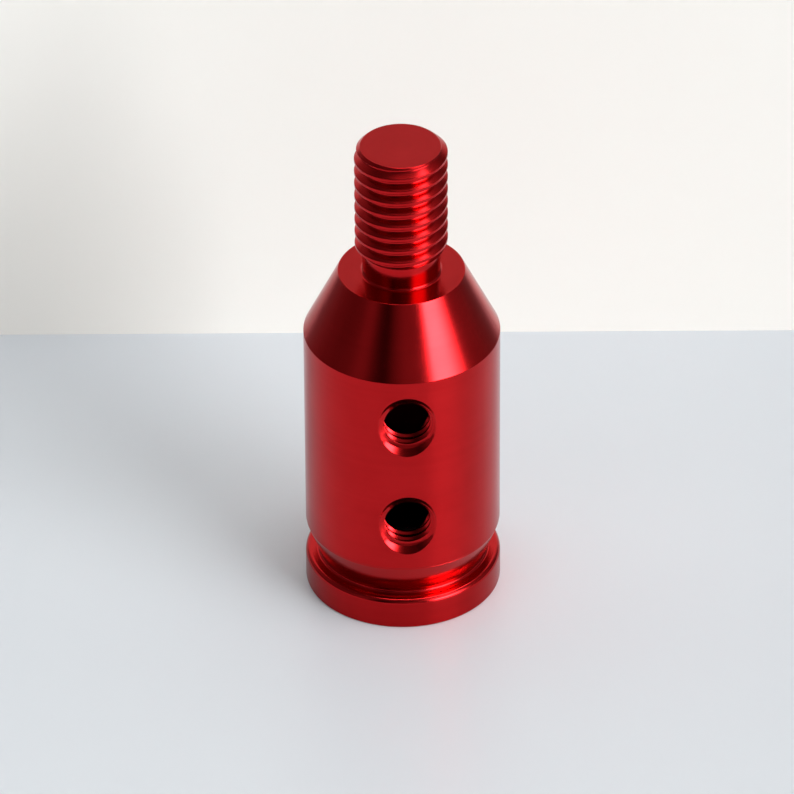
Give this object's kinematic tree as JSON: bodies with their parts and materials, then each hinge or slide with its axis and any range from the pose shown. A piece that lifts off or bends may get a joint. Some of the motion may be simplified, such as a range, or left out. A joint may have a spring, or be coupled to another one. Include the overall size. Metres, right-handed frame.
{
  "type": "gear knob adapter",
  "caption": "Turned aluminium adapter that clamps on a plain gear lever with radial set screws and carries a threaded knob on its stud.",
  "frame": {"origin": "centre of the adapter's bottom face, on the turning axis", "axes": "+Z along the turning axis towards the threaded stud, -Y towards the column of two empty tapped holes"},
  "size_m": [0.021, 0.021, 0.055],
  "materials": {
    "anodised_red": "red anodised, fine turned grain, semi-gloss",
    "black_oxide_steel": "black oxide, lightly oiled"
  },
  "bodies": {
    "adapter": {"adapter_body": "anodised_red"},
    "screw_right_lower": {"set_screw_right_lower": "black_oxide_steel"},
    "screw_right_upper": {"set_screw_right_upper": "black_oxide_steel"},
    "screw_left_lower": {"set_screw_left_lower": "black_oxide_steel"},
    "screw_left_upper": {"set_screw_left_upper": "black_oxide_steel"}
  },
  "joints": [
    {"name": "set_screw_right_lower_advance", "type": "slide", "parent": "adapter", "child": "screw_right_lower", "axis": [-0.866, -0.5, 0], "range_m": [-0.001, 0.002]},
    {"name": "set_screw_right_upper_advance", "type": "slide", "parent": "adapter", "child": "screw_right_upper", "axis": [-0.866, -0.5, 0], "range_m": [-0.001, 0.002]},
    {"name": "set_screw_left_lower_advance", "type": "slide", "parent": "adapter", "child": "screw_left_lower", "axis": [0.866, -0.5, 0], "range_m": [-0.001, 0.002]},
    {"name": "set_screw_left_upper_advance", "type": "slide", "parent": "adapter", "child": "screw_left_upper", "axis": [0.866, -0.5, 0], "range_m": [-0.001, 0.002]}
  ]
}
